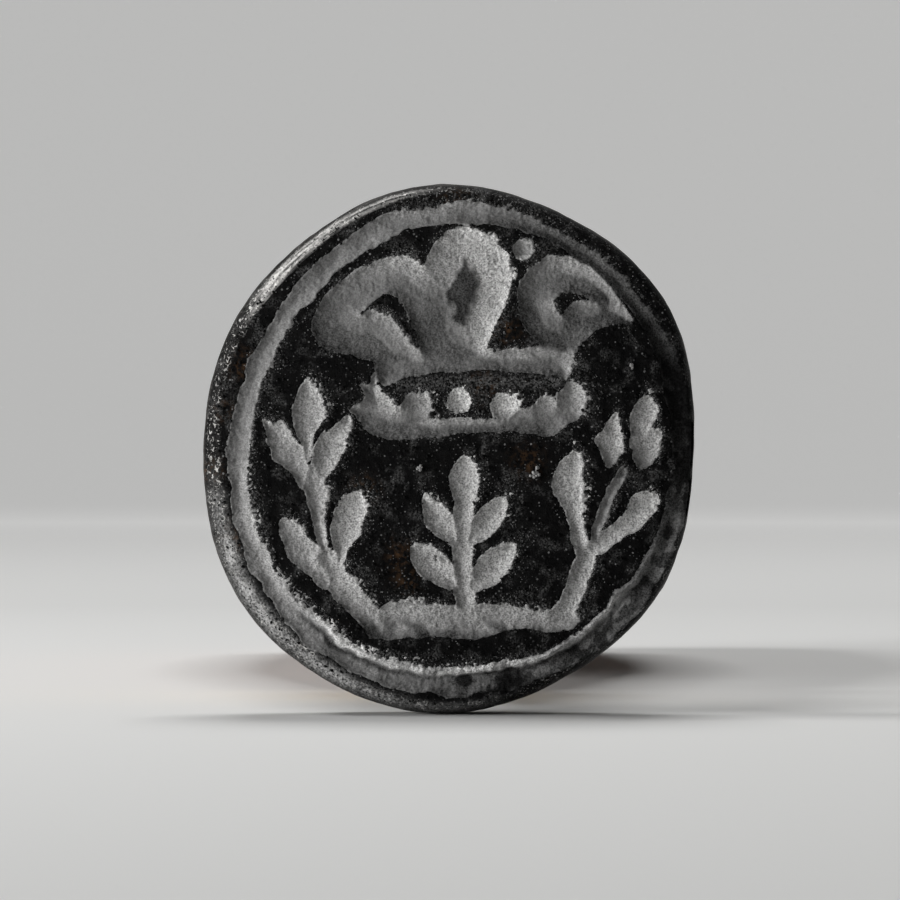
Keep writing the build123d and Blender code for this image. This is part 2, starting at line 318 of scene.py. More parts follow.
# pearls: tone, place and radius
pearls = [(0.6, 3.38, 9.14, 0.46), (0.82, 0.49, 2.24, 0.58), (0.82, 2.54, 1.99, 0.63),
    (0.55, -1.35, 2.02, 0.62), (0.52, 4.45, 1.9, 0.56)]
leaves = [
    (0.8, [(-6.48, 3.17), (-5.97, 2.67), (-5.7, 2.08), (-5.7, 1.58), (-5.93, 1.08), (-6.2, 0.53),
        (-6.3, -0.4), (-6.6, -0.3), (-6.75, 0.44), (-7.02, 1.03), (-7.16, 1.81), (-6.93, 2.58)]),
    (0.72, [(-8.48, 1.4), (-8.11, 1.22), (-7.61, 1.22), (-7.2, 0.71), (-6.79, 0.26), (-6.48, -0.38),
        (-6.25, -1.2), (-6.61, -1.74), (-7.07, -1.15), (-7.52, -0.7), (-7.98, -0.33), (-8.16, 0.21),
        (-8.34, 0.85)]),
    (0.8, [(-4.61, 1.58), (-4.47, 1.08), (-4.61, 0.4), (-4.84, -0.24), (-5.25, -0.79), (-5.75, -1.38),
        (-6.2, -1.11), (-6.2, -0.24), (-5.97, 0.35), (-5.75, 0.76), (-5.29, 0.99), (-4.93, 1.31)]),
    (0.78, [(-7.61, -3.11), (-7.2, -3.25), (-6.7, -3.61), (-6.16, -4.16), (-5.84, -4.57), (-5.9, -5.02),
        (-5.4, -5.57), (-5.2, -6.16), (-5.75, -6.3), (-6.29, -5.75), (-6.84, -5.34), (-7.3, -4.84),
        (-7.48, -4.2), (-7.7, -3.57)]),
    (0.95, [(-4.65, -2.02), (-4.2, -1.88), (-3.88, -2.06), (-3.74, -2.61), (-3.93, -3.25), (-4.11, -3.79),
        (-4.43, -4.25), (-4.7, -4.84), (-4.93, -5.48), (-5.25, -5.57), (-5.2, -4.8), (-5.34, -4.11),
        (-5.34, -3.43), (-5.16, -2.79), (-4.97, -2.29)]),
    (0.7, [(-6.25, -0.6), (-6.62, -1.3), (-6.55, -1.9), (-6.36, -2.6), (-6.15, -3.4), (-5.95, -4.2),
        (-5.7, -5), (-5.4, -5.4), (-5.5, -4.7), (-5.62, -3.9), (-5.62, -3), (-5.6, -2.2), (-5.72, -1.4),
        (-5.95, -0.8)]),
    (0.96, [(5.68, -0.01), (6.05, -0.38), (6.16, -0.92), (6.12, -1.84), (6.1, -2.75), (6.14, -3.43),
        (6.37, -4.2), (6.46, -4.8), (6, -4.93), (5.73, -4.34), (5.55, -3.66), (5.32, -2.75), (5, -2.15),
        (4.77, -1.7), (4.77, -1.24), (5, -0.7), (5.32, -0.29)]),
    (1, [(6.55, -4.93), (6.37, -4.34), (6.91, -3.84), (7.55, -3.34), (8.05, -2.75), (8.37, -2.15),
        (8.83, -1.88), (9.25, -1.82), (9.53, -2.05), (9.58, -2.5), (9.34, -2.9), (8.96, -3.29),
        (8.46, -3.7), (7.87, -4.16), (7.28, -4.57)]),
    (0.85, [(7.64, 1.72), (7.82, 1.31), (8.01, 0.58), (8.05, -0.01), (7.73, -0.38), (7.37, -0.88),
        (7.05, -0.51), (6.91, -0.1), (6.64, 0.4), (6.82, 0.71), (7.1, 0.94), (7.37, 1.35)]),
    (0.85, [(9.09, 2.58), (9.41, 2.26), (9.55, 1.72), (9.32, 1.17), (9.14, 0.94), (9.7, 0.9),
        (9.64, 0.44), (9.5, -0.1), (9.25, -0.56), (8.73, -0.79), (8.45, -0.38), (8.27, 0.17),
        (8.32, 0.81), (8.27, 1.35), (8.41, 1.9), (8.68, 2.35)]),
    (0.84, [(-3.47, -7.48), (-2.88, -7.07), (-2.19, -6.93), (-1.06, -7.07), (0.08, -7.16), (1.22, -7.05),
        (2.36, -6.95), (3.5, -7.16), (4.64, -7.34), (5.18, -6.84), (5.87, -7.44), (5.73, -8.1),
        (4.86, -8.3), (3.73, -8.12), (2.59, -8.2), (1.45, -8.6), (0.31, -8.65), (-0.83, -8.5),
        (-2.19, -8.6), (-3.33, -8.6), (-3.74, -8.21)]),
]
# stems: tone, points and width
stems = [
    (0.82, [(-5.5, -5), (-5, -6.1), (-4.3, -6.9), (-3.4, -7.8)], 1.05),
    (0.85, [(5.3, -7.4), (5.9, -6.15), (6.35, -4.8)], 0.85),
    (0.48, [(6.7, -4.4), (6.85, -3.4), (7.15, -2.5), (7.5, -1.8), (7.95, -1)], 0.44),
    (0.85, [(0.8, -7.5), (0.65, -5), (0.7, -2)], 0.9),
]
# pointed leaves of the middle sprig: tone, base and tip, and width
sideLeaves = [
    (0.9, [(0.7, -6.6), (3.1, -4.3)], 1.35),
    (0.9, [(0.7, -6.6), (-1.7, -4.3)], 1.35),
    (0.92, [(0.7, -4.6), (2.55, -2.2)], 1.2),
    (0.92, [(0.7, -4.6), (-1.15, -2.2)], 1.2),
    (0.95, [(0.7, -3.2), (0.7, -0.25)], 1.35),
]
thinStrip = [(5.2, 3.42), (5.05, 2.85), (3.2, 2.78), (1.2, 2.76), (-0.8, 2.74), (-2.4, 2.8), (-1.6, 3.3),
    (1.2, 3.42)]


# Closed smooth curve through a few points: each stretch is a cubic blend of its four neighbours
def roundThrough(points, steps=5):
    p = np.asarray(points, float)
    t = np.linspace(0, 1, steps, endpoint=False)[None, :, None]
    a, b, c, d = (np.roll(p, shift, axis=0)[:, None, :] for shift in (1, 0, -1, -2))
    curve = 2 * b + (c - a) * t + (2 * a - 5 * b + 4 * c - d) * t**2 + (3 * b - a - 3 * c + d) * t**3
    return (curve / 2).reshape(-1, 2)


# Distance from every point of the face to a run of straight edges
def edgeDistance(x, z, starts, ends):
    best = np.full(x.shape, np.inf)
    for (ax, az), (bx, bz) in zip(starts, ends):
        ex, ez = bx - ax, bz - az
        t = np.clip(((x - ax) * ex + (z - az) * ez) / (ex * ex + ez * ez + hair), 0, 1)
        best = np.minimum(best, np.hypot(x - ax - t * ex, z - az - t * ez))
    return best


# Signed distance to a closed outline: negative where a level ray crosses an odd number of its edges
def outlineField(x, z, points):
    starts = roundThrough(points)
    ends = np.roll(starts, -1, axis=0)
    inside = np.zeros(x.shape, bool)
    for (ax, az), (bx, bz) in zip(starts, ends):
        slope = (bx - ax) / (bz - az) if bz != az else 0.0
        inside ^= ((az > z) != (bz > z)) & (x < ax + (z - az) * slope)
    best = edgeDistance(x, z, starts, ends)
    return np.where(inside, -best, best)


# Stem: the distance to the line through its points, less half its width
def stemField(x, z, points, width):
    p = np.asarray(points, float)
    return edgeDistance(x, z, p[:-1], p[1:]) - width / 2


# Leaf: half-width grows from the base as a sine of the way along, fullest past the middle, to a blunt tip
def leafField(x, z, points, width, lateness=1.35, bluntness=0.75):
    (bx, bz), (tx, tz) = points
    length = math.hypot(tx - bx, tz - bz)
    ux, uz = (tx - bx) / length, (tz - bz) / length
    along = ((x - bx) * ux + (z - bz) * uz) / length
    aside = np.abs((z - bz) * ux - (x - bx) * uz)
    half = width / 2 * np.maximum(np.sin(math.pi * np.clip(along, 0, 1) ** lateness), 0) ** bluntness
    over = np.maximum(np.maximum(-along, along - 1), 0) * length
    return np.where(over > 0, np.hypot(over, aside), aside - half)


# A motif's field is worked out only near its own box; further off it counts as far
def nearOnly(x, z, points, measure, *sizes, margin=1.2, far=9.0):
    p = np.asarray(points, float)
    low, high = p.min(0) - margin, p.max(0) + margin
    near = (x > low[0]) & (x < high[0]) & (z > low[1]) & (z < high[1])
    field = np.full(x.shape, far)
    field[near] = measure(x[near], z[near], points, *sizes)
    return field


# Seal die: the iron disc with its engraved face, neck and bore; pairs are degrees around the face and a value
die = {
    "gridSteps": 272,
    "shortHalf": 11.2, "longHalf": 12.0, "lean": 8.4, "filed": 0.08,
    "outlineWobble": [(1, 0.09, 29.5), (2, 0.07, 51.6), (4, 0.07, 165), (5, 0.06, 171), (6, 0.1, -168)],
    "ringRadius": 10.38, "ringWobble": [(1, 0.68, 8.2), (2, 0.33, 142.0), (3, 0.06, -140.1)],
    "ringShift": [(-180, 0.1), (-120, 0.18), (-80, 0.02), (-60, 0.18), (-40, 0.1), (0, 0), (40, -0.28),
        (60, -0.28), (80, -0.05), (100, 0.12), (120, 0.08), (160, 0), (180, 0.1)],
    "ringHalf": 0.46, "ringExtra": 0.14,
    # ring tones by angle: low on the right, partly thin powder, partly painted shade where the light falls
    # off
    "ringTones": [(-180, 0.5), (-135, 0.78), (-100, 0.85), (-80, 0.6), (-60, 0.72), (-40, 0.8), (-20, 0.42),
        (-5, 0.08), (15, 0.03), (40, 0.12), (65, 0.22), (90, 0.54), (135, 0.49), (180, 0.5)],
    # ring's lower lip: tone of its painted highlight and strength of the painted shadow line under it, by
    # angle
    "lipHighlightTones": [(-140, 1.15), (-105, 1.55), (-80, 1.4), (-50, 1.1), (-25, 0.35)],
    "lipShadow": [(-138, 0), (-126, 0.95), (-104, 0.95), (-90, 0.3), (-60, 0.4), (-30, 0.2)],
    "floorBare": [(-150, 0.3), (-120, 0.5), (-100, 0.5), (-86, 1), (-70, 1), (-50, 0.4), (-20, 0.2)],
    "dome": 0.5, "bevelDepth": 0.5,
    "bevelWidths": [(-180, 0.75), (-160, 0.95), (-140, 0.9), (-120, 0.8), (-100, 0.55), (-80, 0.36), (0, 0.3),
        (80, 0.3), (100, 0.4), (120, 0.55), (140, 0.72), (160, 0.6), (180, 0.75)],
    "wearTurns": [(-180, 0.65), (-120, 0.8), (-80, 0.6), (-55, 0.45), (-30, 0.25), (0, 0.08), (70, 0.15),
        (90, 0.6), (120, 1), (142, 0.8), (160, 0.55), (180, 0.65)],
    "recess": 0.6,
    # rust spots: place and size
    "rustSpots": [(-3.8, -1.8, 0.55), (-2.2, -4.8, 0.6), (2.6, 5.4, 0.6), (-9.3, 3.9, 0.6), (-9.7, -3.9, 0.6),
        (-10.8, -0.9, 0.45), (3.6, -0.5, 0.6), (-1.9, -6.0, 0.5), (-10.2, 1.8, 0.4), (1.6, 2.9, 0.6),
        (0.4, 11.3, 0.6)],
    # rings down the filed side: growth over the rim, station and wear
    "sideRings": [(0.05, 1.5, 0.25), (0.07, 2.4, 0.08), (0.03, 3.8, 0.1), (-0.25, 4.25, 0.35),
        (-0.6, 4.4, 0.05)],
    # turned rings of back, neck, collar and bore: radius, station and wear
    "turnedRings": [(8.4, 4.42, 0), (7.3, 4.7, 0), (6.3, 5.3, 0), (5.5, 6.2, 0), (5.0, 7.2, 0), (4.8, 8.2, 0),
        (4.8, 11.6, 0), (5.1, 12.1, 0.02), (5.7, 12.7, 0.1), (6.2, 13.0, 0.4), (6.2, 13.35, 0.04),
        (6.2, 14.35, 0.04), (6.2, 14.7, 0.4), (5.9, 15.0, 0.3), (3.05, 15.0, 0.1), (3.05, 4.85, 0)],
}


# Oval outline with a slight hand-filed wobble: an ellipse plus a few cosine waves around it
def outlineRadius(angle):
    longWay = math.pi / 2 - math.radians(die["lean"])
    short, tall = die["shortHalf"], die["longHalf"]
    radius = short * tall / np.hypot(short * np.cos(angle - longWay), tall * np.sin(angle - longWay))
    return radius + die["filed"] + waves(angle, die["outlineWobble"])


# Lie of the face: a low dome, plus a filed bevel whose depth grows as a power of the way to the rim
def faceLie(x, z):
    angle = np.arctan2(z, x)
    rim = outlineRadius(angle)
    rho = np.minimum(np.hypot(x, z) / rim, 1)
    width = byTurn(angle, die["bevelWidths"])
    inward = (1 - rho) * rim
    bevel = die["bevelDepth"] * np.clip(1 - inward / width, 0, 1) ** 1.8
    return die["dome"] * rho**4 + bevel + 0.04 * roughness(x, z, 3.0, 61), inward, width


# Plan of the face: one square raster on which each motif's field is worked out once
plan = {"step": 0.05, "half": 12.8, "leastSlope": 1e-6}
ticks = np.arange(-plan["half"], plan["half"] + hair, plan["step"])
planX, planZ = np.meshgrid(ticks, ticks, indexing="ij")
planLumps, planRough = partial(lumps, planX, planZ), partial(roughness, planX, planZ)
cutX = planX + 0.13 * planRough(1.3, 11) + 0.1 * planRough(0.4, 21)
cutZ = planZ + 0.13 * planRough(1.3, 31) + 0.1 * planRough(0.4, 41)
drawn = partial(nearOnly, cutX, cutZ)
crownGroup, sprigGroup, borderGroup = range(3)
motifs = [(crownGroup, tone, drawn(points, outlineField)) for tone, points in crown]
for hole in cutOuts:
    cut = drawn(hole, outlineField)
    motifs = [(number, tone, np.maximum(part, -cut)) for number, tone, part in motifs]
motifs += [(crownGroup, tone, np.hypot(cutX - x, cutZ - z) - radius) for tone, x, z, radius in pearls]
motifs += [(crownGroup, tone, drawn(points, outlineField)) for tone, points in circlet]
for rows, measure in ((leaves, outlineField), (stems, stemField), (sideLeaves, leafField)):
    motifs += [(sprigGroup, tone, drawn(points, measure, *width)) for tone, points, *width in rows]

# Border ring: a lumpy band around a wavy circle, widest at the bottom; its tone drops on the right, partly
# from thin powder and partly as painted shade where the light falls off
turn = np.arctan2(cutZ, cutX)
ringLine = die["ringRadius"] + waves(turn, die["ringWobble"])
fromLine = np.hypot(cutX, cutZ) - ringLine - byTurn(turn, die["ringShift"])
lumpyTurn = lumps(11 * np.cos(turn), 11 * np.sin(turn), 0.9, 51)
ringHalf = die["ringHalf"] * (1 + 0.5 * lumpyTurn) + die["ringExtra"] * ease(0.2, 0.9, towards(turn, -85))
ringHalf = ringHalf * (1 - 0.3 * ease(0.8, 0.95, towards(turn, 50)))
patchy = ease(-0.25, 0.25, planRough(0.8, 91))
ringTone = byTurn(turn, die["ringTones"]) * (1 + 0.5 * planLumps(1.1, 99))
ringTone = ringTone * (1 - 0.65 * patchy * ease(0.1, 0.7, np.cos(turn)))
motifs.append((borderGroup, ringTone, np.abs(fromLine) - ringHalf))

# The motif that reaches deepest over a cell gives the cell its tone and group
field = np.full(planX.shape, np.inf)
tone = np.ones_like(field)
group = np.zeros(field.shape, int)
for number, level, part in motifs:
    closer = part < field
    tone = np.where(closer, level, tone)
    group = np.where(closer, number, group)
    field = np.where(closer, part, field)
tone = blurred(tone, 4)
inCrown, inSprigs, inBorder = (group == number for number in range(3))
slopeX, slopeZ = np.gradient(field, plan["step"])
facing = blurred((0.75 * slopeX + 0.6 * slopeZ) / (np.hypot(slopeX, slopeZ) + plan["leastSlope"]), 2)
print("device drawn:", len(motifs), "motifs")

# Bottom of the ring: a raised lip along its inner edge whose tone carries a painted highlight, a painted
# shadow line under it and blotches beyond
fromLip = fromLine + ringHalf
lipTurn = ease(0.25, 0.75, towards(turn, -78))
litLip = lipTurn * ease(0.38, 0.24, fromLip + 0.16 * planLumps(0.5, 93))
lipHighlightTone = byTurn(turn, die["lipHighlightTones"]) * (1 - 0.5 * patchy)
shadowLine = lipTurn * byTurn(turn, die["lipShadow"]) * np.exp(-(((fromLip - 0.46) / 0.11) ** 2))
blotch = ease(-0.16, 0.2, planRough(0.75, 95))
beyond = lipTurn * (1 - litLip) * byTurn(turn, die["floorBare"]) * (0.45 + 0.45 * blotch)
gaps = ease(0.3, 0.75, towards(turn, -32)) * ease(-0.08, 0.08, planRough(0.62, 103))
ringTone = tone * (1 - beyond) * (1 - 0.8 * shadowLine) * (1 - 0.75 * gaps)
ringTone = ringTone + litLip * np.clip(lipHighlightTone - ringTone, 0, None)
tone = np.where(inBorder, ringTone, tone)

# Powder gone thin: an island in the petal, gaps under the bar and the feet of the two right-hand leaves
island = ease(0.2, -0.2, drawn(petalIsland, outlineField) + 0.25 * planLumps(0.3, 97))
barNoise = roughness(planX + 0.4 * planZ, 0.7 * planZ, 0.9, 98)
barGaps = inSprigs * ease(-7.4, -8.1, planZ) * ease(-0.08, 0.3, barNoise)
barFade = inSprigs * ease(-7.9, -8.6, planZ)
leafFeet = inSprigs * (planX > 6.4) * (planZ > -1.25) * ease(0.1, -0.8, planZ)
for thin, share in ((island, 0.87), (barGaps, 0.7), (barFade, 0.4), (leafFeet, 0.5)):
    tone = tone * (1 - share * thin)

# Lighter towards the tops of the crown's arms, as painted light on their upper parts, and lighter across the
# circlet's top
onArms = inCrown * (ease(-0.6, -1.4, planX) + ease(2.9, 3.3, planX)) * (planZ < 8.9)
circletTop = inCrown * ease(1.1, 2.1, planZ) * ease(3.2, 2.8, planZ)
tone = tone * (1 + 0.42 * onArms * np.clip(planZ - 5.9, 0, 2.4)) * (1 + 0.45 * circletTop)

# Powder: a bowl that deepens from each motif's edge, with edges that fray towards the upper right
powder = {
    "bowlDepth": 0.21, "bowlReach": 0.32, "edgeReach": 0.2, "under": 0.035, "backing": 0.08, "rimGap": 0.12,
    # the worn-and-shaded keys set the painted shade on the lower-left edges, partly also thinner powder
    "wornShadeReach": [0.42, 0.22, 0.22], "wornShadeShare": [0.72, 0.7, 0.5], "pearlWornShade": 0.3, "pearlMargin": 0.15,
}
inside = np.clip(-field, 0, None)
outside = np.clip(field, 0, None)
upward = ease(-0.1, 0.8, facing)
frayed = np.where(inCrown, np.maximum(upward, 0.5), upward)
planLie, planInward = faceLie(planX, planZ)[:2]
atEdge = np.exp(-inside / powder["edgeReach"])
grainy = 0.04 * planRough(0.45, 71) + 0.034 * planLumps(0.12, 81) + 0.032 * planLumps(0.07, 83)
fringe = 0.07 * planLumps(0.11, 85) + 0.05 * planLumps(0.07, 86)
bowl = powder["under"] + powder["bowlDepth"] * (1 - np.exp(-inside / powder["bowlReach"]))
powderTop = planLie + bowl + grainy + fringe * atEdge * (0.4 + frayed) + outside * (0.75 - 0.63 * frayed)
powderTop = powderTop + 0.1 * planLumps(0.9, 87) * (1 - atEdge) - 0.1 * island
powderTop = powderTop + inBorder * (0.13 * shadowLine - 0.12 * litLip * ease(0.0, 0.12, inside))
recess = die["recess"] * ease(-0.02, 0.12, inside)

# Tone at the edges: painted shade on the lower-left edges, which face away from the light, partly also
# thinner powder there; painted highlight on the upper-right edges, which face it
pearlRoom = np.min([np.hypot(planX - x, planZ - z) - radius for _, x, z, radius in pearls], axis=0)
wornShadeReach, wornShadeShare = (np.array(powder[key])[group] for key in ("wornShadeReach", "wornShadeShare"))
wornShadeShare = wornShadeShare * (1 - 0.5 * circletTop)
wornShadeShare = np.where(pearlRoom < powder["pearlMargin"], powder["pearlWornShade"], wornShadeShare)
wornAndShaded = ease(0.0, 0.8, -facing) * np.exp(-inside / wornShadeReach) * (0.68 + 0.9 * planLumps(0.1, 88))
wornAndShaded = np.clip(wornAndShaded, 0, 0.85) * wornShadeShare
onBar = inSprigs & (planZ < -6.8)
# painted highlight on the upper-right edges, strongest on the crown
crownEdgeHighlight = 0.46 * np.exp(-inside / 0.9)
otherEdgeHighlight = np.where(onBar, 0.1, 0.3) * tone * np.exp(-inside / 0.25)
edgeHighlight = np.where(inCrown & (pearlRoom > powder["pearlMargin"]), crownEdgeHighlight, otherEdgeHighlight)
tone = (tone + upward * edgeHighlight * (1 - island)) * (1 - wornAndShaded)

# Square grid laid on the disc by squeezing each square shell onto a circle, so cells stay alike all over
side = np.linspace(-1, 1, die["gridSteps"] + 1)
sa, sb = np.meshgrid(side, side, indexing="ij")
wide = np.abs(sa) >= np.abs(sb)
safeA, safeB = np.where(sa == 0, hair, sa), np.where(sb == 0, hair, sb)
radial = np.where(wide, sa, sb)
swing = np.where(wide, math.pi / 4 * sb / safeA, math.pi / 2 - math.pi / 4 * sa / safeB)
phi = np.arctan2(radial * np.sin(swing), radial * np.cos(swing))
rho = np.abs(radial)
rim = outlineRadius(phi)
faceX, faceZ = rho * rim * np.cos(phi), rho * rim * np.sin(phi)
faceLumps, faceRough = partial(lumps, faceX, faceZ), partial(roughness, faceX, faceZ)
lie, inward, bevelWidth = faceLie(faceX, faceZ)


# Value of a plan raster at the grid's points, blended between its four nearest cells
def atFace(values):
    gx, gz = ((place + plan["half"]) / plan["step"] for place in (faceX, faceZ))
    i, j = gx.astype(int), gz.astype(int)
    return betweenFour(values, i, i + 1, gx - i, j, j + 1, gz - j)


# Iron: a pitted face, a scaly bevel and the recesses under the powder
pits = 0.035 * faceRough(0.5, 101) + 0.03 * faceLumps(0.2, 111)
onBevel = ease(0.07, -0.08, inward - bevelWidth)
filedSmooth = ease(0.6, 0.95, towards(phi, 122))
scaly = onBevel * (1 - 0.45 * filedSmooth) * (0.09 * faceRough(0.5, 121) + 0.06 * faceLumps(0.19, 131))
ironTop = lie + pits + scaly + atFace(recess)

# Attributes for the finishes: loose dust, a thin powder film, a light band on the lower-left rim that is
# partly powder and partly painted light, the bare rim and rust
outer = np.clip(atFace(field), 0, None)
faceFray = atFace(frayed)
faceTone = np.clip(1.4 * atFace(tone), 0.06, 1)
smears = ease(0.05, 0.45, faceRough(0.55, 151))
film = 0.012 + 0.5 * smears + 0.5 * faceTone * faceFray * np.exp(-outer / (0.08 + 0.26 * faceFray))
film = np.maximum(film, ease(0.2, -0.25, nearOnly(faceX, faceZ, thinStrip, outlineField)))
dust = np.exp(-outer / (0.1 + 0.3 * faceFray)) * (0.3 + 0.7 * faceFray) * faceTone
# Lower-left rim band: painted light across the middle of the bevel where it faces the light, partly powder
# caught on the rim
acrossRim = np.exp(-(((inward - 0.55 * bevelWidth) / (0.36 * bevelWidth)) ** 2))
lowerLeft = ease(0.72, 1.0, towards(phi, 226)) * (0.85 + 0.8 * faceLumps(0.7, 125))
rimChalkAndLight = acrossRim * np.maximum(lowerLeft, 0.4 * ease(0.86, 1.0, towards(phi, 256)))
rimChalkAndLight = np.clip(rimChalkAndLight, 0, 1)
rimWear = onBevel * ease(0.0, 0.2, inward) * byTurn(phi, die["wearTurns"]) * (1 - 0.6 * rimChalkAndLight)
polish = onBevel * ease(0.04, 0.26, inward) * ease(0.86, 0.985, towards(phi, 120))
rust = sum(np.exp(-((faceX - x) ** 2 + (faceZ - z) ** 2) / size**2) for x, z, size in die["rustSpots"])

# Front of the die from the grid, then rings from the rim back along the disc, neck, collar and bore
order = np.arange(phi.size).reshape(phi.shape)
loop = order[rho == 1]
loop = loop[np.argsort(phi.reshape(-1)[loop])]
loopPhi, loopRim, loopTop = (values.reshape(-1)[loop] for values in (phi, rim, ironTop))
around = len(loop)
rings = []
for grow, station, _ in die["sideRings"]:
    wobble = 0.06 * roughness(11 * np.cos(loopPhi) + station, 11 * np.sin(loopPhi) - station, 1.2, 131)
    rings.append(aroundAxis(loopRim + grow + wobble, np.maximum(loopTop + 0.2, station), loopPhi))
rings += [aroundAxis(radius, station, loopPhi) for radius, station, _ in die["turnedRings"]]
boreEnd = die["turnedRings"][-1][1]
facePoints = np.stack([faceX, ironTop, faceZ], -1).reshape(-1, 3)
backPoints = np.concatenate([*rings, [[0, boreEnd, 0]]])
points = np.concatenate([facePoints, backPoints])
base, pole = len(facePoints), len(points) - 1
firstRing = base + np.arange(around)
dieFaces = [
    gridQuads(order).reshape(-1, 4),
    np.stack([loop, firstRing, np.roll(firstRing, -1), np.roll(loop, -1)], -1),
    ringQuads(len(rings), around) + base,
    poleFan(pole - around, around, pole, False),
]
backWear = [wear for _, _, wear in die["sideRings"] + die["turnedRings"]]
# each layer has its values on the face and behind it
layers = {
    "dust": (dust, 0), "film": (film, 0.04), "rimChalkAndLight": (rimChalkAndLight, 0), "polish": (polish, 0),
    "rimWear": (rimWear, np.append(np.repeat(backWear, around), 0)), "rust": (np.clip(rust, 0, 1), 0.15),
    "forged": (ease(0.06, 0.0, inward), 1), "across": (inward * mm, 0),
    "along": (phi * die["longHalf"] * mm, 0),
}
attributes = {
    key: np.concatenate([front.reshape(-1), np.broadcast_to(back, len(backPoints))])
    for key, (front, back) in layers.items()
}
sealDie = putMesh("sealDie", points, dieFaces, attributes, 50)
print("seal die:", len(sealDie.data.polygons), "faces")


# Powder piece: the plan's cells near one group of motifs, as a lumpy top, a plain bottom and walls between
def powderPiece(name, number):
    used = (outside < 0.1 + 0.28 * frayed) & (planInward > powder["rimGap"])
    cell = gridQuads(used).any(-1) & (group[:-1, :-1] == number)
    grid = np.arange(planX.size).reshape(planX.shape)
    top = gridQuads(grid)[cell]
    padded = np.pad(cell, 1)
    i, j = np.nonzero(cell)
    sides = []
    for di, dj, first, second in ((-1, 0, 3, 0), (1, 0, 1, 2), (0, -1, 0, 1), (0, 1, 2, 3)):
        bare = ~padded[i + 1 + di, j + 1 + dj]
        a, b = top[bare, first], top[bare, second]
        sides.append(np.stack([b, a, a + grid.size, b + grid.size], -1))
    faces = np.concatenate([top, top[:, ::-1] + grid.size, *sides])
    bottom = np.maximum(planLie + recess, powderTop) + powder["backing"]
    points = np.stack([[planX, planX], [powderTop, bottom], [planZ, planZ]], -1).reshape(-1, 3)
    keep, faces = np.unique(faces, return_inverse=True)
    packingAndShading = np.tile(tone.reshape(-1), 2)[keep]
    return putMesh(name, points[keep], [faces.reshape(-1, 4)], {"packingAndShading": packingAndShading})


powderNames = ["crownPowder", "sprigPowder", "borderPowder"]
powderPieces = [powderPiece(name, number) for number, name in enumerate(powderNames)]
print("powder:", [len(piece.data.polygons) for piece in powderPieces], "faces")

# Loose grains: knobbly twenty-sided pebbles on the iron, thickest where dust gathers at the motifs' edges
grains = {
    "count": 5000, "smallest": 0.022, "largest": 0.09, "smallShare": 3.0, "jitter": 0.09, "seed": 7,
    "clumps": [(-1.28, -0.83, 0.15), (-0.65, -4.93, 0.13), (3.95, -1.06, 0.19), (8.37, 3.86, 0.14)],
    "perClump": 16, "clumpSpread": 0.45, "clumpTone": 0.7, "reach": 0.965,
}
count = grains["count"]
rng = np.random.default_rng(grains["seed"])
bareIron = (atFace(powderTop) > ironTop) & (rho < grains["reach"])
weight = np.where(bareIron, 0.02 + 0.07 * smears + 0.5 * dust**1.3, 0).reshape(-1)
spots = rng.choice(len(weight), count, p=weight / weight.sum())
sizeRange = grains["largest"] - grains["smallest"]
size = grains["smallest"] + sizeRange * rng.random(count) ** grains["smallShare"]
jitter = (rng.random((count, 2)) - 0.5) * grains["jitter"]
middle = facePoints[spots] + np.stack([jitter[:, 0], -0.3 * size, jitter[:, 1]], 1)
clumps = np.repeat(np.array(grains["clumps"]), grains["perClump"], axis=0)
clumps[:, :2] += rng.normal(size=(len(clumps), 2)) * clumps[:, 2:] * grains["clumpSpread"]
clumpLie = faceLie(clumps[:, 0], clumps[:, 1])[0] - 0.06 * rng.random(len(clumps))
middle = np.concatenate([middle, np.stack([clumps[:, 0], clumpLie, clumps[:, 1]], 1)])
size = np.concatenate([size, clumps[:, 2] * (0.25 + 0.3 * rng.random(len(clumps)))])
g = (1 + 5**0.5) / 2
pebble = np.array([
    (-1, g, 0), (1, g, 0), (-1, -g, 0), (1, -g, 0), (0, -1, g), (0, 1, g),
    (0, -1, -g), (0, 1, -g), (g, 0, -1), (g, 0, 1), (-g, 0, -1), (-g, 0, 1),
])
pebble = pebble / np.linalg.norm(pebble[0])
pebbleFaces = np.array([
    (0, 11, 5), (0, 5, 1), (0, 1, 7), (0, 7, 10), (0, 10, 11), (1, 5, 9), (5, 11, 4), (11, 10, 2),
    (10, 7, 6), (7, 1, 8), (3, 9, 4), (3, 4, 2), (3, 2, 6), (3, 6, 8), (3, 8, 9), (4, 9, 5), (2, 4, 11),
    (6, 2, 10), (8, 6, 7), (9, 8, 1),
])
knobs = len(pebble)
knobbly = pebble[None] * (0.65 + 0.7 * rng.random((len(size), knobs, 1))) * size[:, None, None]
grainPoints = (middle[:, None, :] + knobbly).reshape(-1, 3)
grainFaces = (pebbleFaces[None] + knobs * np.arange(len(size))[:, None, None]).reshape(-1, 3)
smeared, dusted = smears.reshape(-1)[spots], dust.reshape(-1)[spots]
grainTone = (0.1 + 0.65 * rng.random(count) ** 2) * (0.17 + 0.1 * smeared + dusted)
grainTone = grainTone * (1 - 0.65 * ease(0.03, 0.07, size[:count]))
grainTone = np.repeat(np.append(grainTone, np.full(len(clumps), grains["clumpTone"])), knobs)
chalkGrains = putMesh("chalkGrains", grainPoints, [grainFaces], {"packingAndShading": grainTone})
print("loose grains:", len(size))


# Turned piece: a closed profile of radius and station carried around the axis
def turnPiece(name, profile, steps, sharpAngle=40):
    points = aroundAxis(profile[:, :1], profile[:, 1:], evenTurns(steps))
    return putMesh(name, points, [ringQuads(len(profile), steps, True)], None, sharpAngle)


